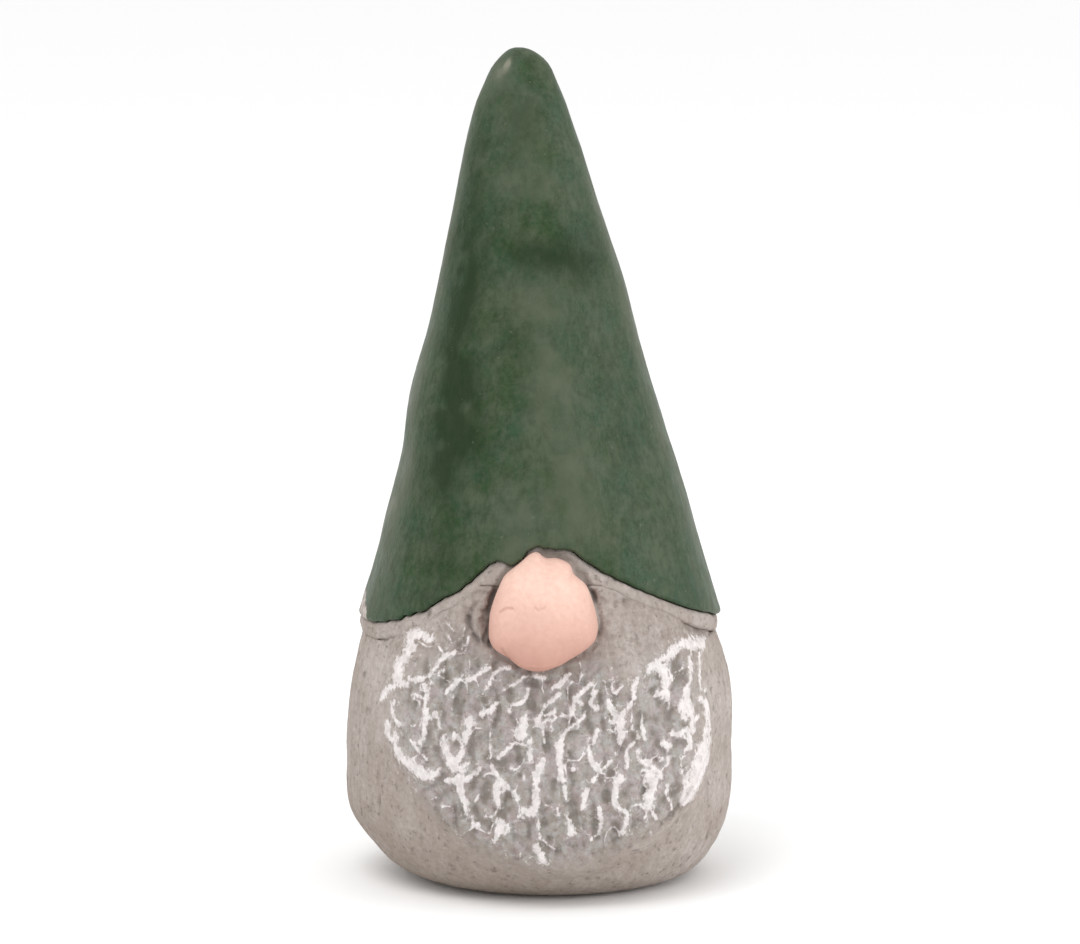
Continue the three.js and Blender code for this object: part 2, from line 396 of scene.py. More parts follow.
def clay_relief(points):
    """Uneven handwork, sponge wipes and pits on a clay surface in millimetres, and the pits."""
    uneven = 0.22 * clay_noise(points, 11, 1) + 0.1 * clay_noise(points, 4, 2)
    wipes = 0.06 * clay_noise(points * (1, 1, 0.2), 1.3, 3)
    grit = 0.05 * clay_noise(points, 1.0, 4)
    pocked = 0.55 * clay_noise(points, 1.7, 5) + 0.45 * clay_noise(points, 0.8, 6)
    pits = smooth_step(pocked, 0.42, 0.75)
    return uneven + wipes + grit - 0.16 * pits, pits


pot_turn, pot_radius = np.meshgrid(
    np.linspace(-math.pi, math.pi, pot_columns, endpoint=False), pot_outline[:, 0]
)
pot_height = np.repeat(pot_outline[:, 1:], pot_columns, axis=1)
outside_rows = sum(len(stretch) for stretch in outside_stretches)
outside = (np.arange(len(pot_outline)) < outside_rows)[:, None]
off_foot = smooth_step(pot_height, 0.0, 2.5) * outside
relief, pits_and_shade = clay_relief(around(pot_radius, pot_turn, pot_height))
relief = relief.reshape(pot_radius.shape) - pot_set_in
pits_and_shade = pits_and_shade.reshape(pot_radius.shape) * outside
pot_radius += off_foot * (relief + pressed(pot_turn, pot_height, pot_presses))
add_piece(
    "pinched_pot",
    on_foot(around(pot_radius, pot_turn, pot_height)),
    grid_faces(*pot_radius.shape, True),
    "pot_body",
    bare_clay("bare_clay"),
    {"pits_and_shade": pits_and_shade},
)

# The hat: a slab of clay rolled into a cone and pinched shut at the tip, hollow, its end lapped
# over its start at the back and its edge torn where it arches over the nose. Painted dark green.

hat_low, hat_high = (np.array(corner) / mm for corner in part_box("hat_cone"))
hat_top = hat_high[2]
hat_rim_height = hat_low[2]
hat_rim_radius = 28.4
hat_tip_radius = 5.6
hat_cavity_radius = 25.1
hat_cavity_tip_radius = 2.6
hat_tip_wall = 10.2
hat_cavity_top = hat_top - hat_tip_wall
hat_lean = -3.1
hat_lean_start = 60
hat_edge_round = 0.5
hat_edge_lift = 0.12
lap_turn = math.radians(158)
lap_width = math.radians(45)
lap_step = 0.75
hat_columns = 420
hat_rows = 150
hat_edge_rows = 10
hat_inner_rows = 36
hat_tip_rows = 12
hat_set_in = 0.12

# The torn edge over the face as places across and up
hat_arch = np.array([
    (-28.4, 40.9), (-25.8, 41.2), (-22, 42.7), (-17.4, 44.9), (-15, 46.7), (-12.5, 48), (-10.3, 50),
    (-7.8, 52.2), (-6.5, 52.8), (-3.9, 52.3), (-2.6, 53), (-1.8, 54.5), (0, 55), (5, 54.4),
    (7, 53), (10, 50.9), (15, 48.3), (21.5, 45), (26.9, 42.2), (28.4, 40.9),
])

# Presses on the hat, each written as the pot's are
hat_presses = [
    (0, 112, 0.5, 999, 13),
    (-90, 65, -0.35, 32, 5),
    (-90, 76, 0.5, 32, 6),
    (-90, 118, 0.3, 60, 8),
    (90, 97, 0.35, 50, 7),
    (-38, 74, -0.7, 17, 12),
    (-42, 97, -0.5, 26, 6),
    (12, 70, 0.5, 11, 17),
    (42, 80, -0.4, 15, 14),
    (10, 98, -0.35, 50, 3.0),
    (5, 107.8, -0.3, 45, 0.7),
    (0, 110.5, 0.2, 40, 4),
    (-60, 123.5, -0.5, 32, 2.4),
    (-75, 127, -0.6, 50, 2),
    (-90, 50, -0.5, 38, 8),
    (90, 90, 0.35, 45, 6),
    (35, 124, -0.35, 30, 3.0),
    (60, 60, 0.2, 20, 8),
    (-60, 52, 0.3, 18, 6),
    (150, 75, -0.5, 22, 14),
    (-150, 90, -0.35, 24, 10),
    (-120, 60, 0.35, 20, 10),
    (110, 55, -0.3, 18, 9),
]


def cone_slope(rim_radius, tip_radius, tip_top):
    """How much a cone that touches the ball at its tip narrows per millimetre of height."""
    rise = tip_top - tip_radius - hat_rim_height
    angle = math.atan2(rim_radius, rise) - math.asin(tip_radius / math.hypot(rim_radius, rise))
    return math.tan(angle)


def cone_radius(height, rim_radius, tip_radius, tip_top):
    """The cone's radius at a height, rounded over by the ball at its tip."""
    slope = cone_slope(rim_radius, tip_radius, tip_top)
    side = rim_radius - slope * (height - hat_rim_height)
    centre = tip_top - tip_radius
    touch = centre + tip_radius * math.sin(math.atan(slope))
    ball = np.sqrt(np.clip(tip_radius**2 - (height - centre) ** 2, 0, None))
    return np.where(height < touch, side, ball)


def hat_edge(turn):
    """The height of the hat's edge at each turn."""
    height = np.full(turn.shape, hat_rim_height)
    for _ in range(6):
        across = cone_radius(height, hat_rim_radius, hat_tip_radius, hat_top) * np.sin(turn)
        arch = np.interp(across, *hat_arch.T)
        height = np.where(np.cos(turn) > 0, arch, hat_rim_height)
    spots = around(np.full(turn.shape, hat_rim_radius), turn, height)
    torn = 0.22 * clay_noise(spots, 1.4, 11) + 0.12 * clay_noise(spots, 0.7, 12)
    in_arch = smooth_step(np.cos(turn), 0, 0.5) * smooth_step(-turn, -0.9, 0.2)
    return height + torn * (0.25 + 0.75 * in_arch) + hat_edge_lift


def leaned(points):
    """Leans the hat's upper part to the left."""
    rise = np.clip((points[:, 2] - hat_lean_start) / (hat_top - hat_lean_start), 0, None)
    points[:, 0] += hat_lean * rise
    return points


hat_turn = np.linspace(-math.pi, math.pi, hat_columns, endpoint=False)
edge_height = hat_edge(hat_turn)

# Inside from its tip down to the edge, round the edge, and up the outside to the tip
inner_share = np.linspace(0, 1, hat_inner_rows)[:, None] ** 0.8
inner_edge = edge_height + 0.3
inner_height = hat_cavity_top + (inner_edge - hat_cavity_top) * inner_share
inner_radius = cone_radius(inner_height, hat_cavity_radius, hat_cavity_tip_radius, hat_cavity_top)
outer_share = np.linspace(0, 1, hat_rows)[:, None]
outer_share = outer_share * (0.7 + 0.3 * outer_share)
before_tip = 1 - outer_share[-hat_tip_rows, 0]
outer_share[-hat_tip_rows:, 0] = 1 - before_tip * np.linspace(1, 0, hat_tip_rows) ** 2
outer_height = edge_height + hat_edge_round + (hat_top - edge_height - hat_edge_round) * outer_share
outer_radius = cone_radius(outer_height, hat_rim_radius, hat_tip_radius, hat_top)
edge_angle = np.linspace(-math.pi / 2, 0, hat_edge_rows, endpoint=False)[:, None]
edge_rise = edge_height + hat_edge_round * (1 + np.sin(edge_angle))
edge_radius = outer_radius[0] - hat_edge_round * (1 - np.cos(edge_angle))

hat_height = np.vstack([inner_height, edge_rise, outer_height])
hat_radius = np.vstack([inner_radius, edge_radius, outer_radius])
hat_turns = np.broadcast_to(hat_turn, hat_height.shape).copy()
hat_outside = np.zeros((len(hat_height), 1))
hat_outside[hat_inner_rows:] = 1
hat_outside = hat_outside * smooth_step(hat_radius, 0.0, 3.5)

spots = around(hat_radius, hat_turns, hat_height)
hat_uneven = 0.28 * clay_noise(spots * (1, 1, 0.55), 13, 21) + 0.09 * clay_noise(spots, 4, 22)
hat_uneven += 0.035 * clay_noise(spots * (1, 1, 0.35), 1.6, 23) + 0.02 * clay_noise(spots, 0.8, 24)
past_lap = (hat_turns - lap_turn) % (2 * math.pi)
lap = lap_step * (1 - past_lap / lap_width) * (past_lap < lap_width)
lap *= np.clip((hat_top - hat_height) / (hat_top - hat_rim_height), 0, 1)
tip_slim = -0.35 * smooth_step(hat_height, hat_top - 9, hat_top - 3)
hat_push = hat_uneven.reshape(hat_radius.shape) - hat_set_in + lap + tip_slim
hat_push += pressed(hat_turns, hat_height, hat_presses)
hat_radius = hat_radius + hat_outside * hat_push

# The left corner of the edge stayed bare. Paint pooled in the hollows and wore off the ridges;
# painted shade darkens the hollows and the band left of the middle, and painted sheen lightens
# the ridges, both sides and a glint at the tip. Each patch is written as a press is, with how
# much paint, shade or sheen in place of how far.
edge_away = hat_height - edge_height
corner_away = np.abs(hat_turns + math.radians(88)) / math.radians(20)
corner_top = 3.6 * (1 - smooth_step(corner_away, 0.2, 1))
corner_top += clay_noise(spots, 2.2, 25).reshape(hat_height.shape)
bare_corner = smooth_step(corner_top - edge_away, -0.6, 0.8) * (corner_away < 1)
unpainted = np.zeros(hat_height.shape)
unpainted[:hat_inner_rows] = 1
pooled_and_shade_patches = [
    (-42, 71, 1.6, 15, 8),
    (-44, 84, 1.1, 12, 9),
    (-48, 97, 1.0, 24, 5.5),
    (-55, 108, 0.6, 16, 9),
    (15, 98, 0.6, 40, 3.2),
    (45, 97, 0.7, 16, 4.5),
    (-38, 52, 0.35, 10, 6),
    (42, 78, 0.35, 12, 14),
    (-10, 84, 0.35, 10, 4),
    (0, 118, 0.3, 25, 4),
]
worn_and_sheen_patches = [
    (14, 66, 1.4, 13, 11),
    (9, 82, 0.9, 12, 8),
    (-8, 58, 0.9, 9, 8),
    (8, 92, 0.7, 22, 4),
    (0, 109, 0.7, 34, 2.5),
    (6, 112, 0.4, 30, 6),
    (-52, 124.8, 2.6, 26, 2.0),
    (-28, 126.6, 4, 9, 0.8),
    (-78, 66, 1.6, 12, 30),
    (-80, 104, 1.1, 14, 14),
    (78, 62, 1.2, 11, 26),
    (80, 100, 0.9, 14, 14),
    (0, 120, 0.5, 60, 4),
]
pooled_and_shade = pressed(hat_turns, hat_height, pooled_and_shade_patches)
worn_and_sheen = pressed(hat_turns, hat_height, worn_and_sheen_patches)
uneven_coat = 1 + 0.7 * clay_noise(spots, 5, 26).reshape(hat_height.shape)
uneven_coat += 0.5 * clay_noise(spots, 2, 27).reshape(hat_height.shape)

green_mid = linear(42, 66, 34)
green_blue = linear(38, 68, 46)
green_pooled_and_shade = linear(16, 39, 4)
green_worn_and_sheen = linear(83, 90, 72)
green_dust_and_glint = linear(140, 138, 124)
hat_paint = Finish("hat_paint", roughness=0.46, shine=0.22)
brushed = hat_paint.patches(1.3, 0.4, 0.64, 5, stretch=(1, 1, 0.5), shift=2, rough=0.6)
clouds = hat_paint.patches(5, 0.42, 0.6, 5, shift=6, rough=0.62)
tint = hat_paint.patches(9, 0.42, 0.6, shift=10)
fine = hat_paint.patches(0.8, 0.42, 0.64, 5, shift=8, rough=0.65)
dust = hat_paint.patches(0.9, 0.70, 0.78, 2, shift=12)
worn_and_sheen_mark = hat_paint.mark("worn_and_sheen")
scuffed_and_glint = hat_paint.share(worn_and_sheen_mark, 1.9, 3.6)
green = hat_paint.over(green_mid, green_blue, tint, 0.85)
green = hat_paint.over(green, green_worn_and_sheen, clouds, 0.55)
green = hat_paint.over(green, green_pooled_and_shade, brushed, 0.52)
green = hat_paint.over(green, green_worn_and_sheen, fine, 0.3)
# Lighter where paint wore off, and painted sheen on the lit ridge and down both sides
green = hat_paint.mix(hat_paint.share(worn_and_sheen_mark, 0, 2), green, green_worn_and_sheen)
# Pale scuffs, and a painted glint near the tip where the mark is highest
green = hat_paint.over(green, green_dust_and_glint, scuffed_and_glint, 0.6)
# Paint pooled in the dents, with painted shade over them and over the band left of the middle
green = hat_paint.over(green, green_pooled_and_shade, hat_paint.mark("pooled_and_shade"), 0.85)
green = hat_paint.over(green, green_dust_and_glint, dust, 0.2)
bare = hat_paint.sum(hat_paint.mark("bare"), hat_paint.noise(0.8, 3, shift=4), 0.5)
bare = hat_paint.share(bare, 0.6, 0.85)
bare_colour = hat_paint.mix(hat_paint.patches(0.9, 0.4, 0.7, 4, shift=5), clay_light, clay_dark)
hat_paint.colour(hat_paint.mix(bare, green, bare_colour))
hat_paint.rough(hat_paint.sum(0.4, hat_paint.sum(hat_paint.times(clouds, 0.12), bare, 0.4)))
hat_paint.bump(hat_paint.noise(0.5, 3, shift=8), 0.05)
hat_paint.bump(hat_paint.sum(hat_paint.noise(2.2, 3, shift=6), brushed, 0.3), 0.12)
add_piece(
    "rolled_hat",
    leaned(around(hat_radius, hat_turns, hat_height)),
    grid_faces(*hat_radius.shape, False),
    "hat_cone",
    hat_paint,
    {
        "bare": np.clip(bare_corner + unpainted, 0, 1),
        "pooled_and_shade": np.clip(pooled_and_shade * uneven_coat, 0, 1),
        "worn_and_sheen": np.clip(worn_and_sheen * uneven_coat, 0, 4),
    },
)

# The luting coil: a roll of soft clay pressed flat into the joint all the way round, under the
# hat's edge and over the nose. Bare, lumpy from the fingertips that pressed it home.

coil_gap = 0.05
coil_depth = 2.2
coil_lap = 0.5
coil_reach = 49.1
coil_half_width = 1.3
coil_set_back = 1.9
coil_square = 0.5
coil_columns = 720
coil_sides = 22
coil_set_in = 0.2
nose_middle = np.array([0.7, 44.8])
nose_half_size = (8.2, 9.4)

coil_turn = np.linspace(-math.pi, math.pi, coil_columns, endpoint=False)
side_angle = np.linspace(0, 2 * math.pi, coil_sides, endpoint=False)[:, None]
coil_edge = hat_edge(coil_turn)
spots = around(np.full(coil_turn.shape, hat_rim_radius), coil_turn, coil_edge)
coil_top = coil_edge - coil_gap
in_arch = smooth_step(coil_edge, 42, 46)
coil_wave = 0.2 * clay_noise(spots, 2.4, 34) * in_arch - coil_lap * (1 - in_arch)
coil_bottom = np.minimum(coil_top - coil_depth, coil_reach) + coil_wave
coil_turns = np.broadcast_to(coil_turn, (coil_sides, coil_columns))
out = np.sign(np.cos(side_angle)) * np.abs(np.cos(side_angle)) ** coil_square
rise = np.sign(np.sin(side_angle)) * np.abs(np.sin(side_angle)) ** coil_square
coil_height = (coil_top + coil_bottom) / 2 + (coil_top - coil_bottom) / 2 * rise

# Its face stands upright round the back and leans in with the hat under the arch
upright = cone_radius(coil_edge, hat_rim_radius, hat_tip_radius, hat_top)
leaning = cone_radius(coil_height, hat_rim_radius, hat_tip_radius, hat_top)
coil_radius = upright + (leaning - upright) * in_arch
coil_radius = coil_radius - coil_set_back + coil_half_width * out
spots = around(coil_radius, coil_turns, coil_height)
lumps = 0.22 * clay_noise(spots, 3.2, 31) + 0.14 * clay_noise(spots, 1.2, 32)
cracks = smooth_step(clay_noise(spots * (1, 1, 0.5), 1.5, 33), 0.5, 0.85)
coil_push = (lumps - 0.3 * cracks).reshape(coil_radius.shape) - coil_set_in
coil_radius = coil_radius + coil_push * out

# Painted shade darkens it in the crevice round the nose; its cracks are darkened as well
nose_away = np.hypot(*((spots[:, [0, 2]] - nose_middle) / nose_half_size).T)
nose_crevice_shade = smooth_step(-np.abs(nose_away - 0.98), -0.1, -0.03)
add_piece(
    "luting_roll",
    around(coil_radius, coil_turns, coil_height),
    grid_faces(coil_sides, coil_columns, True),
    "luting_coil",
    bare_clay("coil_clay"),
    {"pits_and_shade": np.maximum(cracks, 1.3 * nose_crevice_shade)},
)

# The beard: a pad of clay spread over the front, thin at its edges, combed with a tool into wavy
# upright ridges. White paint is dragged over it with a nearly dry brush and stays on the ridges.

beard_thickness = 2.3
beard_middle = np.array([1.0, 25.0])
beard_spokes = 760
beard_rings = 108
beard_back_rings = 8
beard_top = 49.5
beard_into_coil = 0.15
beard_set_in = 0.12
beard_back_sunk = 0.7
comb_pitch = 2.6
stroke_width = 0.6
stroke_splay = 0.45
beard_face_set_back = 3.1
beard_lower_edge = [
    (-24.6, 38.6), (-25.4, 28), (-24, 21), (-20, 14.5), (-14, 8.6), (-7, 5), (1, 3.8),
    (9, 4.8), (18, 9), (24.4, 15), (27, 23), (27.2, 31), (26.4, 38.6),
]

# Each stroke of the dry brush: how hard it presses at the start and at the end, and the places
# across and up that it runs through
brush_strokes = [
    (0.85, 0.9, (-16.6, 40.8), (-18.2, 41.1), (-19.4, 40.5), (-19.4, 39.3), (-20.2, 37.8),
     (-21.2, 36.3), (-21.6, 34.1)),
    (0.3, 0.3, (-13.9, 41.7), (-13.4, 40.8), (-13.1, 40.2)),
    (0.35, 0.35, (-10.7, 41.5), (-11.0, 40.5), (-11.7, 39.7)),
    (0.55, 0.55, (-12.9, 39.2), (-14.4, 38.5), (-15.8, 36.7), (-16.7, 35.5), (-18.3, 34.8),
     (-19.7, 34.7)),
    (0.35, 0.35, (-14.3, 36.6), (-15.2, 36), (-14.5, 35.4)),
    (0.4, 0.4, (-11.5, 36.3), (-11.8, 35.5), (-13.1, 34.4), (-14.2, 33.3)),
    (0.45, 0.45, (-7.4, 37.4), (-8.7, 36.8), (-10.2, 35.7), (-11, 35.5)),
    (0.55, 0.3, (-4.4, 37.5), (-5.9, 37.3), (-6.8, 36.5), (-7.4, 35.2), (-8.2, 34), (-8.9, 33)),
    (0.5, 0.3, (0.8, 36.2), (-2.2, 36.3), (-3.3, 35.4), (-5, 34.5), (-6.1, 33.7)),
    (0.4, 0.4, (-1.6, 34.6), (-1.8, 33.5), (-2.7, 32.4), (-4.1, 32), (-4.4, 31.1)),
    (0.5, 0.8, (-6.1, 32.5), (-7.2, 31.3), (-8.6, 30.6)),
    (0.35, 0.55, (-7.3, 29.1), (-7.3, 26.5), (-7.3, 24.1), (-7.0, 22.5), (-6.2, 21.3), (-5.3, 20.3)),
    (0.7, 0.4, (-5.9, 20.5), (-6.6, 19.1), (-6.1, 17.5), (-6.3, 16.3), (-6.8, 15.3), (-7.9, 15)),
    (0.8, 0.8, (-10.4, 29.7), (-10.6, 28), (-11.2, 26.5)),
    (0.3, 0.3, (-12.9, 33), (-13.1, 31.5), (-13.2, 30.2)),
    (0.6, 0.55, (-17.3, 34), (-17, 32.9), (-17.3, 31.1), (-16.9, 29.7), (-17.3, 28),
     (-17.8, 25.7), (-18.8, 25.4)),
    (0.6, 0.55, (-20, 34), (-21.8, 33.1), (-23.2, 32.1), (-24.2, 30.2)),
    (0.5, 0.5, (-22, 30.8), (-22.3, 29.5), (-22, 28.3), (-21.2, 27.5)),
    (0.55, 0.6, (-23, 27.3), (-23.2, 25.8), (-22.6, 24.7)),
    (0.6, 1.0, (-21.9, 26.1), (-21.9, 24.5), (-21.4, 23.1), (-20.4, 22.1), (-19.2, 21.7),
     (-18.2, 21.1)),
    (1.15, 0.8, (-18.2, 21.1), (-17.0, 20.7), (-15.6, 21.3)),
    (0.35, 0.35, (-19.4, 25.5), (-18.3, 24.2), (-17.0, 23)),
    (0.75, 0.85, (-14.5, 26.7), (-14.0, 24.9), (-13.3, 23.1), (-12.6, 21.7)),
    (0.4, 0.4, (-12.8, 27.5), (-12.9, 26.3)),
    (0.8, 0.6, (-12.6, 21.9), (-11.6, 22.3), (-10.9, 22.9)),
    (0.6, 0.6, (-14.1, 20.2), (-12.6, 20.3), (-11.2, 20.6), (-10.0, 21.3), (-9.1, 22.3)),
    (0.85, 0.5, (-12.2, 20.7), (-11.8, 18.9), (-11.1, 16.4), (-11.0, 15.1)),
    (0.3, 0.3, (-9.1, 18.3), (-9.6, 17.4)),
    (0.35, 1.1, (-1.9, 31.1), (-2.2, 29.9), (-2.6, 28.7), (-2.7, 27.7)),
    (0.65, 0.65, (-1.4, 26.7), (-1.4, 23.9)),
    (0.45, 0.45, (-1.9, 26), (-3.2, 26.3), (-4.0, 26.1), (-5.0, 25.1), (-6.0, 24)),
    (0.35, 0.35, (-4.3, 22.6), (-3.5, 22.4), (-2.5, 23.3), (-2.2, 24)),
    (0.7, 0.7, (0.5, 23.7), (-0.1, 22.4), (-0.4, 20.5), (-0.4, 18.2)),
    (0.8, 0.8, (-2.3, 16.1), (-1.3, 15.9), (-0.5, 16.9), (-0.3, 18.1)),
    (0.5, 0.5, (-3.8, 18.8), (-3.3, 17.8)),
    (0.9, 0.5, (-5.9, 14.2), (-6.1, 12.8), (-7, 11.1)),
    (0.4, 0.4, (-9.2, 13.8), (-9.2, 13.6)),
    (0.45, 0.45, (-0.1, 14.5), (0, 12.8), (0.2, 11.7)),
    (0.35, 0.35, (0.6, 11.5), (2.2, 10.1)),
    (0.7, 0.8, (-0.4, 10.4), (0.2, 9.1), (0.4, 8.1)),
    (0.5, 0.5, (4.5, 36.5), (3.1, 35.2), (2.2, 34.7)),
    (0.5, 0.5, (3.1, 33.7), (1.6, 32.5), (0.5, 31.1), (0, 30)),
    (0.45, 0.45, (2.2, 31.1), (0.9, 30.5)),
    (0.5, 0.5, (7.9, 35.1), (6.7, 34.1), (5.4, 33), (5, 31.5), (4.5, 30.4), (3.5, 30.6)),
    (0.4, 0.55, (5.4, 33.1), (6.7, 31.8), (7, 30.7), (5.8, 29.4), (4.5, 28.5), (3.6, 27.5), (3.2, 26)),
    (0.6, 0.6, (8.6, 33.8), (7.9, 32.7), (7.9, 31.9), (8.8, 31.5)),
    (0.5, 0.5, (8.8, 28), (8.1, 26.3)),
    (0.5, 0.5, (7.4, 27), (7.4, 26.2), (7.6, 24.5), (8.1, 23.1), (8.9, 21.8), (8.1, 20.5)),
    (0.45, 0.45, (8.9, 21.7), (10, 22.6), (10.9, 23.5)),
    (0.5, 0.9, (10.5, 32.5), (10.9, 31.3), (11.6, 30.1), (12.2, 28.9)),
    (0.9, 0.6, (12.2, 28.9), (12.1, 27.1), (12.4, 26)),
    (0.55, 0.55, (14.9, 35.2), (14.2, 34), (14.3, 32.5), (13.2, 31), (12.2, 29.7)),
    (0.35, 0.35, (12.4, 34.4), (11.4, 33.5), (10.8, 34.2)),
    (0.4, 0.4, (10, 29.9), (11.1, 28.8)),
    (0.45, 0.45, (14.5, 25.8), (13.2, 24.9), (13.4, 23.5), (13.4, 22.2)),
    (0.35, 0.35, (11.5, 24.5), (11.5, 24.3)),
    (0.45, 0.45, (15.5, 28.8), (15.7, 27.5), (15.9, 26.3)),
    (0.7, 0.7, (18.6, 25.2), (19.7, 24.7)),
    (0.8, 1.0, (16.5, 36.5), (18.5, 37.5), (20.3, 38.4), (22.0, 39.2), (23.8, 38.5), (25.2, 38.1)),
    (0.7, 0.7, (19.0, 36.9), (19.2, 35.1), (19.3, 33.9)),
    (0.5, 0.5, (20.9, 35.5), (21.8, 35.7)),
    (0.5, 0.5, (23, 37.1), (23.1, 34), (22.3, 32.5), (22.6, 30.3), (22.7, 28.8)),
    (0.35, 0.35, (24.6, 37), (24.6, 34.4), (24.7, 32.1), (25.5, 31.3)),
    (0.5, 0.5, (17.7, 32.5), (19.2, 32.7), (19.4, 31.5)),
    (0.9, 0.9, (21.8, 30.5), (22, 28.8)),
    (0.6, 0.6, (20.3, 26.5), (21.3, 26.2), (22.5, 26.5), (22.9, 25.2), (23, 23.8)),
    (0.5, 0.5, (24.1, 28.1), (24.1, 27.9)),
    (0.5, 0.5, (26, 28.1), (25.6, 26.3), (25.2, 24), (26, 22)),
    (0.9, 0.9, (25.6, 22), (25.4, 20.5), (24.6, 18.8), (23.6, 16.9), (22.8, 15.9)),
    (1.3, 1.1, (25.2, 23.4), (24.8, 21.6), (24.1, 19.8), (23.2, 17.8)),
    (0.7, 0.9, (23.6, 21.4), (22.6, 19.6), (22.4, 17.6), (22.0, 15.8)),
    (0.55, 0.6, (22.6, 32.4), (22.9, 30.4), (23.3, 28.4), (23.4, 26.2)),
    (0.5, 0.65, (24.6, 30.6), (25.6, 29.4), (25.9, 27.4), (26.0, 25.0)),
    (0.25, 0.25, (-13.6, 43.2), (-13.0, 42.2)),
    (0.25, 0.25, (-11.2, 43.0), (-11.6, 41.6), (-12.6, 40.4)),
    (0.25, 0.25, (-18.2, 40.2), (-17.0, 39.6), (-16.2, 39.8)),
    (0.3, 0.3, (-15.4, 40.0), (-14.2, 38.6), (-15.2, 37.6)),
    (0.5, 0.7, (-12.4, 27.2), (-11.6, 25.6), (-11.8, 24.2), (-12.6, 22.8)),
    (0.9, 0.7, (18.2, 37.2), (18.8, 35.6), (19.2, 34.2)),
    (0.6, 0.6, (15.5, 23.1), (17, 22.1), (18.2, 20.9), (18.6, 20.1)),
    (0.95, 0.4, (17, 20.5), (17.4, 19.1), (16.8, 17.5), (16, 16.3), (16.2, 15.5)),
    (0.35, 0.35, (17, 15.2), (17.8, 13.8)),
    (0.4, 0.4, (19.5, 18.7), (19.4, 17.3), (20.1, 15.9), (20.1, 14.8)),
    (0.8, 0.5, (12.2, 20.7), (11.6, 19.5), (11.4, 17.5), (12.3, 16), (13.4, 15), (13, 13.5),
     (12.5, 12.3)),
    (0.4, 0.4, (9.9, 20.5), (9.9, 20.3)),
    (0.6, 0.4, (9, 16.3), (9.2, 14.5), (9, 12.7), (7.9, 11.4)),
    (0.75, 0.5, (7.2, 19.1), (6.8, 17.5), (6.4, 16.2)),
    (0.4, 0.4, (3.9, 19.9), (4.1, 17.9)),
    (0.9, 0.5, (3.2, 26), (3.2, 24.8), (3.2, 22.7), (3.6, 20.8)),
    (0.35, 0.35, (2.8, 16.5), (2.9, 15.5)),
    (0.5, 0.9, (4.1, 15.4), (4.7, 14.2), (5, 12.8)),
    (0.4, 0.4, (5, 22.5), (5, 22.3)),
    (0.4, 0.4, (14.6, 13.2), (14.6, 13)),
    (0.25, 0.25, (1, 29.3), (0.6, 28.5), (0.9, 26.3)),
]

# Grooves and pits cut with the end of the tool, round the nose and along the pad's lower edge:
# half width, depth, and the places that they run through
tool_cuts = [
    (0.7, 1.7, (-7.5, 40.6), (-7.9, 42), (-7.8, 45), (-6.9, 48), (-5.5, 50.4)),
    (0.3, 0.7, (-9.4, 46.5), (-10.3, 45), (-10.5, 43.4), (-9.9, 42), (-9.0, 40.5)),
    (0.5, 1.4, (7.1, 49.4), (8.3, 47.6), (9.0, 45.2), (9.3, 43.2), (8.7, 41.2)),
    (0.4, 0.6, (10, 46.2), (11.4, 46.0)),
    (0.6, 0.8, (13.0, 46.6), (14.0, 46.4)),
    (0.25, 0.5, (10.8, 39.2), (10.9, 37.8)),
    (0.25, 0.4, (15, 40.2), (15.1, 38.8)),
    (0.25, 0.4, (15.7, 42.2), (15.6, 40.9)),
    (0.4, 0.6, (3.0, 38.1), (6.0, 39.2), (8.0, 40.4)),
    (0.5, 0.7, (-7.4, 40.2), (-5.0, 38.8), (-3.4, 38.0)),
    (0.45, 0.7, (8, 8.9), (15, 10.6), (20, 14.0), (23.4, 18.0)),
    (0.35, 0.65, (13, 7.5), (19.6, 11.2), (23.4, 15.4)),
]

# Crumbs of clay pushed up beside the grooves: place across and up, height and half width
tool_lumps = [
    (-9.2, 43.9, 0.7, 0.8),
    (-12.5, 44.3, 0.6, 1.8),
    (-14.8, 43.6, 0.4, 1.3),
    (11.5, 43.0, 0.5, 1.8),
    (17.0, 42.0, 0.4, 3.0),
]


def body_radius(height):
    """The radius of the pot's outside, carried on up the face under the hat."""
    hat_slope = cone_slope(hat_rim_radius, hat_tip_radius, hat_top)
    face_foot = (hat_rim_radius - beard_face_set_back - 0.3, hat_rim_height + 2)
    face_top = (face_foot[0] - hat_slope * (collar_top - face_foot[1]), collar_top)
    line = np.vstack([
        cubic(*lower_curve, 40),
        cubic(*upper_curve, 40),
        cubic(pot_shoulder, (26.8, 38.6), (25.4, 40.2), face_foot, 12),
        [face_foot, face_top],
    ])
    return np.interp(height, line[:, 1], line[:, 0])


def spline(points, steps):
    """A smooth curve through given places, steps points to a stretch."""
    points = np.array(points, float)
    ends = np.vstack([2 * points[0] - points[1], points, 2 * points[-1] - points[-2]])
    t = np.linspace(0, 1, steps, endpoint=False)[:, None]
    curve = []
    for a, b, c, d in zip(ends, ends[1:], ends[2:], ends[3:]):
        curve.append(b + 0.5 * t * (c - a + t * (2 * a - 5 * b + 4 * c - d + t * (3 * (b - c) + d - a))))
    return np.vstack([*curve, points[-1:]])


def evenly(outline, count):
    """A closed outline resampled to a number of evenly spaced points."""
    closed = np.vstack([outline, outline[:1]])
    along = np.concatenate([[0], np.cumsum(np.hypot(*np.diff(closed, axis=0).T))])
    wanted = np.linspace(0, along[-1], count, endpoint=False)
    return np.stack([np.interp(wanted, along, closed[:, axis]) for axis in (0, 1)], axis=-1)


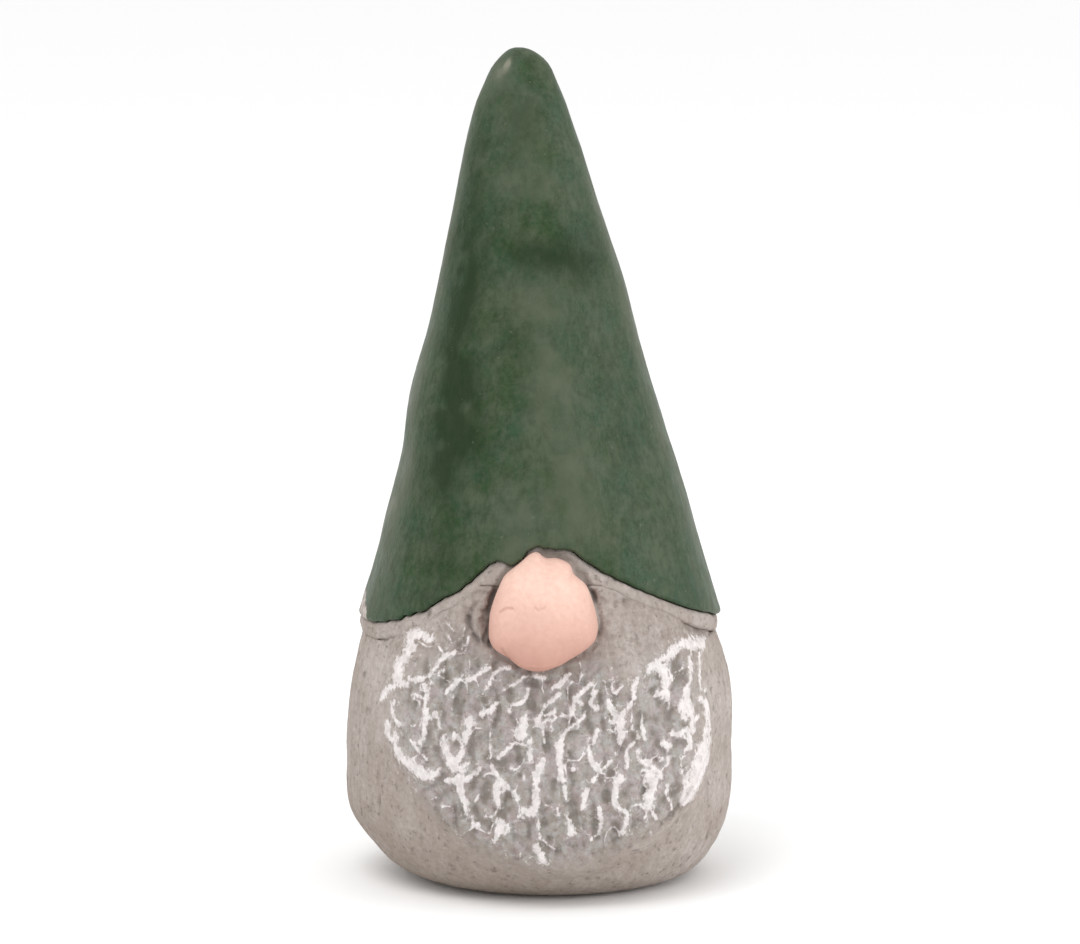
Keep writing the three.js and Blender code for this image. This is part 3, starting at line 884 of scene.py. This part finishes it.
def inside_stroke(places, start_half, end_half, route):
    """How far each place lies inside a stroke along a route, in millimetres; negative outside."""
    curve = spline(route, 4)
    halves = np.linspace(start_half, end_half, len(curve))
    best = np.full(len(places), -99.0)
    for a, b, half_a, half_b in zip(curve, curve[1:], halves, halves[1:]):
        share = np.clip((places - a) @ (b - a) / max((b - a) @ (b - a), 1e-9), 0, 1)
        away = np.hypot(*(places - a - share[:, None] * (b - a)).T)
        best = np.maximum(best, half_a + (half_b - half_a) * share - away)
    return best


def turn_at(across, radius):
    """The turn from the face at a place across, kept off the very side."""
    return np.arcsin(np.clip(across / radius, -0.985, 0.985))


def closed_rings(points, spokes):
    """Points and faces of rings that close to a hub in front and another behind."""
    front_hub, back_hub = len(points), len(points) + 1
    last_ring = len(points) - spokes
    faces = grid_faces(len(points) // spokes, spokes, False).tolist()
    for spoke in range(spokes):
        beyond = (spoke + 1) % spokes
        faces.append([front_hub, beyond, spoke])
        faces.append([back_hub, last_ring + spoke, last_ring + beyond])
    hubs = [points[:spokes].mean(axis=0), points[last_ring:].mean(axis=0)]
    return np.vstack([points, hubs]), np.array(faces, dtype=object)


# The pad's outline: its lower edge, then back over the top just under the coil
arch_points = 90
arch_across = np.linspace(beard_lower_edge[-1][0], beard_lower_edge[0][0], arch_points)[1:-1]
arch_turn = np.arcsin(arch_across / hat_rim_radius)
arch_top = hat_edge(arch_turn) - coil_gap - coil_depth + beard_into_coil
arch_top = np.clip(arch_top, shoulder_height, beard_top)
upper_edge = np.stack([arch_across, arch_top], axis=-1)
beard_outline = np.vstack([spline(beard_lower_edge, 12), upper_edge])
beard_outline = evenly(beard_outline, beard_spokes)

ring_share = np.linspace(0, 1, beard_rings)[1:, None, None]
beard_places = (beard_middle + ring_share * (beard_outline - beard_middle)).reshape(-1, 2)
reach = np.hypot(*(beard_outline - beard_middle).T)
from_edge = ((1 - ring_share[..., 0]) * reach).ravel()

across, up = beard_places.T
flat_places = np.stack([across, up, np.zeros(len(across))], axis=-1)
paint_in = np.full(len(beard_places), -9.0)
for start_press, end_press, *route in brush_strokes:
    halves = [press * (stroke_width + stroke_splay * press) for press in (start_press, end_press)]
    inside = inside_stroke(beard_places, *halves, route)
    paint_in = np.maximum(paint_in, inside / (0.2 + sum(halves) / 2))

# Grooves deepen and fade along the way, and the crumbs stand beside them
cut = np.zeros(len(beard_places))
torn = 0.3 * clay_noise(flat_places, 1.1, 47)
for half, depth, *route in tool_cuts:
    inside = inside_stroke(beard_places, half, half, route) + torn
    cut = np.maximum(cut, depth * smooth_step(inside, -0.35, half))
cut *= 0.7 + 0.5 * clay_noise(flat_places, 1.7, 48)
lump = np.zeros(len(beard_places))
for lump_across, lump_up, rise, half in tool_lumps:
    away = (beard_places - (lump_across, lump_up)) / half
    lump += rise * np.exp(-(away**2).sum(axis=1))

# Ridges run up and down, wander, and spread sideways towards the bottom of the pad
warp = 1.5 * clay_noise(flat_places, 5, 41) + 0.7 * clay_noise(flat_places, 2.2, 42)
spread = across / (1 + 0.25 * np.clip((29 - up) / girth_height, 0, None))
comb = np.cos(2 * math.pi * (spread + warp) / comb_pitch)
broken = clay_noise(flat_places * (1, 0.55, 1), 1.5, 43)
rubble = clay_noise(flat_places * (1, 0.7, 1), 0.75, 45)

# The comb left the upper left and the cheek beside the nose on the right as they were
comb_top = 38.5 + 3.5 * smooth_step(-across, 7, 11)
in_comb = smooth_step(from_edge, 1.5, 6) * smooth_step(comb_top - up, -2.5, 2.5)
in_comb *= smooth_step(across - 0.9 * (up - 30), -28, -20)
in_comb *= 1 - smooth_step(across + 0.6 * (up - 40), 7, 12) * smooth_step(-across, -17, -13)

# Thin burrs of clay wander between the ridges, and catch a little of the paint
thread = clay_noise(flat_places * (1, 0.5, 1), 1.9, 49) + 0.35 * clay_noise(flat_places, 0.9, 50)
thread = in_comb * smooth_step(-np.abs(thread), -0.16, -0.04)
thread *= smooth_step(clay_noise(flat_places, 2.6, 54), -0.35, 0.15)
ridge = in_comb * (0.12 * comb + 0.27 * broken + 0.17 * rubble) + 0.2 * thread
paint_ridge = 0.42 * smooth_step(paint_in, -1.1, 0.3) - 0.12 * smooth_step(paint_in, -2.4, -1.2)
paint_in = np.maximum(paint_in, np.where(thread > 0, 0.85 * thread - 0.6, -9))

# The clay is roughest where the nose was pressed into it
nose_away = np.hypot((across - nose_middle[0]) / 8.2, (up - 45) / 8.3)
churned = smooth_step(nose_away, 0.8, 0.95) * (1 - smooth_step(nose_away, 1.15, 1.6))
churned *= smooth_step(up, 38, 41) * (0.45 + 0.55 * smooth_step(-across, -4, 4))
rough = 0.6 * clay_noise(flat_places, 1.2, 55) + 0.4 * clay_noise(flat_places, 0.55, 56)
cut += 0.6 * churned * smooth_step(rough, -0.1, 0.5)

# The pad swells out from the body, thins towards its edges, and carries all of the above
base_radius = body_radius(up)
beard_turn = turn_at(across, base_radius + 1.5)
left_side = smooth_step(-across, -8, 14)
under_hat = smooth_step(up, 36.5, 40)
step_width = 2.2 + 4.5 * np.maximum(left_side, smooth_step(up, 20, 34))
step_width = step_width + (0.8 - step_width) * under_hat
swell = beard_thickness * (1 - 0.5 * (across / girth_radius) ** 4)
swell *= 1 - 0.95 * smooth_step(up, 34.5, 38) * smooth_step(np.abs(across), 19.5, 24.5)
edge_share = 0.6 * under_hat
swell = swell * (edge_share + (1 - edge_share) * smooth_step(from_edge / step_width, 0, 1))
spots = around(base_radius, beard_turn, up)
relief, pits_and_shade = clay_relief(spots)
fade = smooth_step(from_edge, 0.2, 1.5)
tucked = 0.5 * (1 - smooth_step(from_edge, 0, 0.6)) * (1 - under_hat)
surface = base_radius - beard_set_in + swell + relief - tucked
surface += fade * (ridge + paint_ridge + lump - cut)
surface += 0.04 * clay_noise(spots, 0.55, 44) * fade
surface += under_hat * fade * (0.1 * clay_noise(spots, 1.9, 57) + 0.07 * clay_noise(spots, 0.9, 58))
beard_turn = turn_at(across, surface)

# The pad's back lies a little inside the pot's surface, so that no gap shows at its edges
back_share = np.linspace(1, 0, beard_back_rings, endpoint=False)[1:, None, None]
back_places = (beard_middle + back_share * (beard_outline - beard_middle)).reshape(-1, 2)
back_across, back_up = back_places.T
back_radius = body_radius(back_up) - beard_back_sunk
front_points = around(surface, beard_turn, up)
back_points = around(back_radius, turn_at(back_across, back_radius), back_up)
beard_points = on_foot(np.vstack([front_points, back_points]))
beard_points, beard_faces = closed_rings(beard_points, beard_spokes)

# The first two marks darken pits and, as painted shade, the tool grooves and the crevices round the nose
beard_marks = {
    "pits_and_shade": np.clip(0.8 * pits_and_shade + 0.9 * smooth_step(cut, 0.3, 0.9), 0, 1),
    "crevice_shade_mask": smooth_step(cut, 0.5, 1.1),
    "paint": paint_in,
    "ridge": ridge,
    "combed": in_comb,
    "cheek": under_hat,
}

white_paint = linear(229, 223, 222)
thin_wash = linear(182, 183, 184)
cool_wash = linear(143, 142, 135)
warm_wash = linear(160, 145, 148)
cheek_grey = linear(138, 126, 120)
speck_and_groove_shade = linear(105, 97, 88)
crevice_shade = linear(70, 58, 53)
beard_clay = bare_clay("beard_clay")
ridge_mark = beard_clay.mark("ridge")
paint_mark = beard_clay.mark("paint")
combed_mark = beard_clay.mark("combed")
thin_noise = beard_clay.patches(1.1, 0.45, 0.62, 4, shift=17, rough=0.6)
tints = beard_clay.patches(2.6, 0.42, 0.58, shift=31, rough=0.6)
specks = beard_clay.patches(0.65, 0.54, 0.68, 4, shift=29, rough=0.6)
cheek = beard_clay.times(beard_clay.mark("cheek"), beard_clay.sum(0.1, thin_noise, 0.5))
ground = beard_clay.base
ground = beard_clay.over(ground, beard_clay.mix(tints, cool_wash, warm_wash), combed_mark, 0.4)
ground = beard_clay.over(ground, thin_wash, beard_clay.times(thin_noise, combed_mark), 0.4)
# Painted shade darkens the grooves between the ridges; the same grey also falls as specks over the
# combed zone
ground = beard_clay.over(ground, speck_and_groove_shade, beard_clay.share(ridge_mark, 0.0, -0.22), 0.6)
ground = beard_clay.over(ground, speck_and_groove_shade, beard_clay.times(specks, combed_mark), 0.4)
ground = beard_clay.mix(cheek, ground, cheek_grey)
# Painted shade darkens the deepest cuts round the nose
ground = beard_clay.over(ground, crevice_shade, beard_clay.mark("crevice_shade_mask"), 0.6)

# The dry brush skips: noise tears the strokes' edges, and flecks fall on the ridges beside them
ragged = beard_clay.noise(0.55, 4, stretch=(1, 1, 0.7), shift=21, rough=0.65)
ragged = beard_clay.sum(paint_mark, ragged, 2.2)
ragged = beard_clay.sum(ragged, beard_clay.noise(2.2, 2, shift=23), 1.2)
ragged = beard_clay.sum(ragged, ridge_mark, 0.6)
covered = beard_clay.share(ragged, 1.72, 2.1)
near_paint = beard_clay.times(beard_clay.share(paint_mark, -1.5, -0.2), 0.55)
near_paint = beard_clay.sum(near_paint, beard_clay.share(ridge_mark, 0.0, 0.25), 0.3)
flecks = beard_clay.patches(0.8, 0.56, 0.68, 4, shift=25, rough=0.6)
flecks = beard_clay.times(flecks, near_paint)
covered = beard_clay.share(beard_clay.sum(covered, flecks), 0.0, 1.0)
thick = beard_clay.patches(1.2, 0.34, 0.6, 4, shift=27, rough=0.65)
covered = beard_clay.times(covered, beard_clay.sum(0.58, thick, 0.38))
beard_clay.colour(beard_clay.mix(covered, ground, white_paint))
add_piece(
    "combed_beard",
    beard_points,
    beard_faces,
    "beard_pad",
    beard_clay,
    beard_marks,
)

# The nose: a ball of clay pressed on under the arch, narrow above, broad below, pinched to a
# blunt point at the bottom. Painted a chalky skin pink, with painted shade darkening it towards
# the bottom.

nose_front = 7.0
nose_sunk = 1.2
nose_seat_out = 0.9
nose_spokes = 300
nose_rings = 110
nose_outline = [
    (-7.6, 43.2), (-7.4, 45.2), (-6.8, 47.2), (-6, 49.2), (-5.1, 50.9), (-3.1, 52.6), (-1.3, 54.1),
    (-0.2, 54.3), (1.0, 53.5), (2.8, 53.4), (4.6, 52.5), (5.3, 51.0), (7.1, 49.3), (8.0, 47.2),
    (8.6, 45.2), (8.9, 43.2), (8.5, 41.4), (7.0, 40.1), (5.3, 39.2), (2.8, 38), (0.3, 37.3),
    (-2.4, 37.7), (-4.7, 39.1), (-6.7, 40.2), (-7.5, 41.5),
]

# Each crease: half width, depth, and the places that it runs through
nose_creases = [
    (0.10, 0.16, (-5.9, 46.2), (-4.9, 46.9), (-3.9, 47.0)),
    (0.08, 0.12, (-0.6, 47.3), (0.1, 47.0), (1.0, 47.4)),
    (0.05, 0.08, (0.1, 47.0), (0.2, 47.8)),
    (0.15, 0.2, (-5.6, 40.9), (-5.0, 39.9), (-4.4, 39.2)),
]

outline = evenly(spline(nose_outline + nose_outline[:1], 8)[:-1], nose_spokes)
angle = np.linspace(0, math.pi, nose_rings)[1:-1, None, None]
nose_places = nose_middle + np.sin(angle) ** 0.86 * (outline - nose_middle)
nose_rise = np.broadcast_to(np.cos(angle[..., 0]), nose_places.shape[:2])
nose_rise = np.sign(nose_rise) * np.abs(nose_rise) ** 0.8
across, up = nose_places[..., 0].ravel(), nose_places[..., 1].ravel()
seat = body_radius(up) + nose_seat_out
nose_seat_y = axis_y - depth_ratio * np.sqrt(seat**2 - across**2)
nose_y = nose_seat_y - nose_sunk - nose_front * nose_rise.ravel() * (1 - 0.02 * (up - nose_middle[1]))
nose_y = np.minimum(nose_y, nose_seat_y)
nose_points = np.stack([across, nose_y, up], axis=-1)
uneven = 0.16 * clay_noise(nose_points, 4.5, 51) + 0.05 * clay_noise(nose_points, 1.5, 52)
uneven += 0.02 * clay_noise(nose_points, 0.6, 53)
crease = np.zeros(len(across))
for half, depth, *route in nose_creases:
    inside = inside_stroke(nose_points[:, [0, 2]], half, half, route)
    crease = np.maximum(crease, depth * smooth_step(inside, -0.3, half))
facing = smooth_step(nose_rise.ravel(), -0.1, 0.3)
nose_points[:, 1] -= facing * (uneven - crease)
nose_points, nose_faces = closed_rings(nose_points, nose_spokes)

skin_light = linear(235, 198, 183)
skin_mid = linear(221, 180, 166)
skin_deep_and_shade = linear(182, 134, 119)
skin_crease_shade = linear(176, 128, 112)
nose_paint = Finish("nose_paint", roughness=0.72, shine=0.3)
blush = nose_paint.patches(5, 0.35, 0.65, shift=1)
chalk = nose_paint.patches(0.9, 0.4, 0.7, 4, shift=3)
height_share = nose_paint.add("SeparateXYZ", {0: nose_paint.place}).outputs["Z"]
# Painted shade: darker towards the bottom
painted_low_shade = nose_paint.share(height_share, 50 * mm, 38.5 * mm)
skin = nose_paint.over(skin_light, skin_mid, blush, 0.5)
skin = nose_paint.over(skin, skin_deep_and_shade, painted_low_shade, 0.85)
skin = nose_paint.over(skin, skin_deep_and_shade, chalk, 0.2)
# Painted shade in the creases
skin = nose_paint.over(skin, skin_crease_shade, nose_paint.mark("crease"), 0.55)
nose_paint.colour(skin)
nose_paint.bump(nose_paint.noise(0.5, 3, shift=3), 0.08)
add_piece(
    "pressed_nose",
    nose_points,
    nose_faces,
    "nose",
    nose_paint,
    {"crease": smooth_step(crease, 0.04, 0.16)},
)
